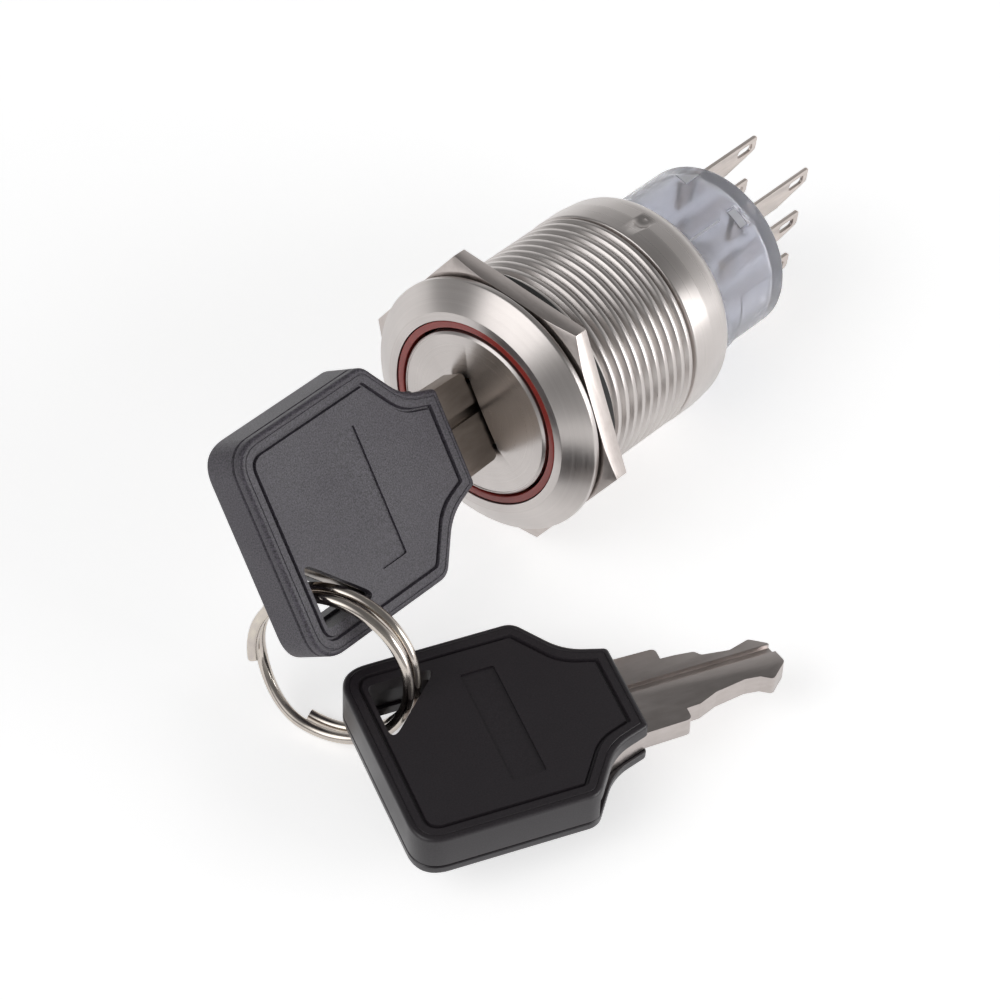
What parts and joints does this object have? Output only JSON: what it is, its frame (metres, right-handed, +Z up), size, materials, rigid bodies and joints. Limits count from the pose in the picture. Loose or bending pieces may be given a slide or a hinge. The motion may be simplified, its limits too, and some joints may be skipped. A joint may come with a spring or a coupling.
{
  "type": "selector key switch",
  "caption": "Panel-mount key selector switch with a threaded steel barrel, hex nut, clear contact block with solder tabs, and plastic-headed keys on a split ring.",
  "frame": {"origin": "on the table under the middle of the part's box, as it lies in the picture", "axes": "+Z up from the table, +Y along the switch from its key to its solder tabs as seen from above, +X to the spare key's side"},
  "size_m": [0.043, 0.0694, 0.0251],
  "materials": {
    "turned_steel": "turned",
    "nickel_plate": "satin nickel",
    "tinned_brass": "tinned",
    "brass": "machined",
    "spring_steel": "drawn",
    "black_rubber": "matte",
    "red_lens": "translucent",
    "smoke_plastic": "translucent moulded",
    "black_plastic": "fine spark grain",
    "board": "solder mask",
    "lamp": "clear"
  },
  "bodies": {
    "switch": {"bezel_housing": "turned_steel", "light_ring": "red_lens", "led_board": "board", "led_1": "lamp", "led_2": "lamp", "lock_sleeve": "brass", "block_cover": "black_plastic", "contact_block": "smoke_plastic", "return_spring": "spring_steel", "terminal_1": "tinned_brass", "terminal_2": "tinned_brass", "terminal_3": "tinned_brass", "terminal_4": "tinned_brass", "terminal_5": "tinned_brass", "terminal_6": "tinned_brass"},
    "panel_nut": {"hex_nut": "nickel_plate", "sealing_ring": "black_rubber"},
    "rotor": {"rotor_face": "turned_steel", "lock_plug": "brass", "drive_cam": "brass", "wafer_1": "brass", "wafer_2": "brass", "wafer_3": "brass", "wafer_4": "brass", "wafer_5": "brass"},
    "plunger": {"plunger": "black_plastic", "contact_bridge": "brass"},
    "key": {"key_blade": "nickel_plate", "key_head_top": "black_plastic", "key_head_bottom": "black_plastic"},
    "ring": {"split_ring": "nickel_plate"},
    "spare_key": {"spare_blade": "nickel_plate", "spare_head_top": "black_plastic", "spare_head_bottom": "black_plastic"}
  },
  "joints": [
    {"name": "key_turn", "type": "hinge", "parent": "switch", "child": "rotor", "pos_m": [-0.00908, -0.0027, 0.01257], "axis": [0, -0.9833, 0.1822], "range_deg": [0, 90]},
    {"name": "plunger_push", "type": "slide", "parent": "switch", "child": "plunger", "axis": [0, 0.9833, -0.1822], "range_m": [0, 0.0016], "deforming": ["return_spring"]},
    {"name": "key_pull", "type": "slide", "parent": "rotor", "child": "key", "axis": [0, -0.9833, 0.1822], "range_m": [0, 0.012]},
    {"name": "nut_travel", "type": "slide", "parent": "switch", "child": "panel_nut", "axis": [0, 0.9833, -0.1822], "range_m": [0, 0.009]},
    {"name": "ring_turn", "type": "hinge", "parent": "key", "child": "ring", "pos_m": [-0.00395, -0.02636, 0.00696], "axis": [0.2859, -0.9256, 0.2479], "range_deg": [-15, 20]},
    {"name": "spare_slide", "type": "hinge", "parent": "ring", "child": "spare_key", "pos_m": [-0.00395, -0.02636, 0.00696], "axis": [0.2859, -0.9256, 0.2479], "range_deg": [-15, 10]}
  ],
  "couplings": [
    {"joint": "plunger_push", "follows": "key_turn", "m_per_rad": 0.000955}
  ]
}
